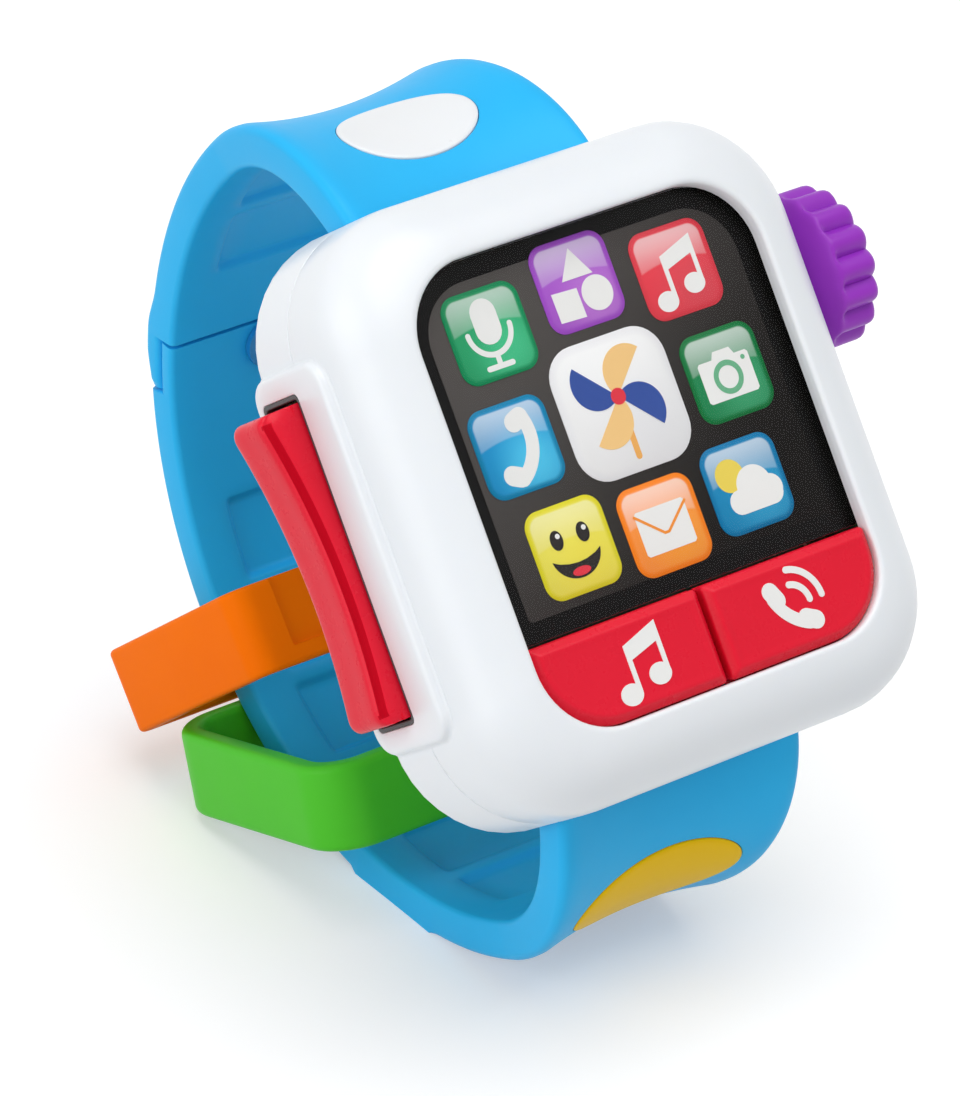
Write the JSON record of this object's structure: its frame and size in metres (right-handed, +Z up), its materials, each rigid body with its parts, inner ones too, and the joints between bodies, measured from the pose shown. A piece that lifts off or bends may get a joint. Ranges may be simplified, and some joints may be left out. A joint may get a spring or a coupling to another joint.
{
  "type": "toy watch",
  "caption": "Pretend-play talking watch with picture screen, press buttons, side rocker, ratchet knob, looped strap and two loose rings.",
  "frame": {"origin": "middle of the flat foot on the outside of the strap, under the centre of the strap's loop", "axes": "+Z up as the watch stands on its strap; the face looks towards -Y and leans back, its upper edge nearer +Y; +X to the right of the face, the knob's side"},
  "size_m": [0.1087, 0.141, 0.1355],
  "materials": {
    "case_white": "smooth satin",
    "clear_lens": "clear, polished",
    "panel_print": "printed, glossy",
    "button_red": "glossy",
    "silicone": "matt",
    "inner_white": "moulded",
    "board_green": "solder mask",
    "chip_black": "matt",
    "led_clear": "clear",
    "steel": "plated",
    "knob_purple": "satin",
    "wheel_grey": "moulded",
    "cone_paper": "paper",
    "magnet": "plated",
    "switch_black": "moulded",
    "cell_wrap": "printed wrap, bare",
    "strap_blue": "smooth, soft",
    "rivet_blue": "moulded",
    "badge_white": "smooth",
    "inset_yellow": "smooth",
    "ring_green": "smooth satin",
    "ring_orange": "smooth satin"
  },
  "bodies": {
    "watch": {"front_shell": "case_white", "rear_shell": "case_white", "screen_lens": "clear_lens", "icon_panel": "panel_print", "music_dome": "silicone", "call_dome": "silicone", "light_box": "inner_white", "circuit_board": "board_green", "sound_chip": "chip_black", "leds": "led_clear", "board_screws": "steel", "rocker_frame": "case_white", "rocker_pin": "steel", "side_board": "board_green", "side_switches": "switch_black", "knob_bush": "inner_white", "click_spring": "steel", "speaker_basket": "steel", "speaker_cone": "cone_paper", "speaker_magnet": "magnet", "switch_body": "steel", "batteries": "cell_wrap", "battery_contacts": "steel", "case_screws": "steel", "strap_upper": "strap_blue", "strap_lower": "strap_blue", "strap_pins": "steel", "strap_rivet": "rivet_blue", "strap_badge": "badge_white", "strap_inset": "inset_yellow"},
    "music_button": {"music_button": "button_red"},
    "call_button": {"call_button": "button_red"},
    "rocker": {"rocker": "button_red"},
    "knob": {"knob": "knob_purple", "knob_shaft": "steel", "click_wheel": "wheel_grey"},
    "power_slider": {"power_slider": "switch_black"},
    "battery_door": {"battery_door": "case_white", "door_screw": "steel"},
    "green_ring": {"green_ring": "ring_green"},
    "orange_ring": {"orange_ring": "ring_orange"}
  },
  "joints": [
    {"name": "music_press", "type": "slide", "parent": "watch", "child": "music_button", "axis": [0, 0.809, -0.5878], "range_m": [0, 0.0015], "stiffness_N_per_m": 400, "springref_m": -0.001, "deforming": ["music_dome"]},
    {"name": "call_press", "type": "slide", "parent": "watch", "child": "call_button", "axis": [0, 0.809, -0.5878], "range_m": [0, 0.0015], "stiffness_N_per_m": 400, "springref_m": -0.001, "deforming": ["call_dome"]},
    {"name": "rocker_rock", "type": "hinge", "parent": "watch", "child": "rocker", "pos_m": [-0.0436, -0.02211, 0.08533], "axis": [0, 0.809, -0.5878], "range_deg": [0, 5]},
    {"name": "knob_turn", "type": "hinge", "parent": "watch", "child": "knob", "pos_m": [0.0448, -0.01693, 0.10505], "axis": [1, 0, 0], "continuous": true},
    {"name": "power_slide", "type": "slide", "parent": "watch", "child": "power_slider", "axis": [0, 0.5878, 0.809], "range_m": [0, 0.004]},
    {"name": "door_lift", "type": "slide", "parent": "watch", "child": "battery_door", "axis": [0, 0.809, -0.5878], "range_m": [0, 0.012]},
    {"name": "green_ring_slide", "type": "hinge", "parent": "watch", "child": "green_ring", "pos_m": [0, 0, 0.0705], "axis": [1, 0, 0], "range_deg": [0, 38]},
    {"name": "orange_ring_slide", "type": "hinge", "parent": "green_ring", "child": "orange_ring", "pos_m": [0, 0, 0.0705], "axis": [1, 0, 0], "range_deg": [0, 30]}
  ]
}
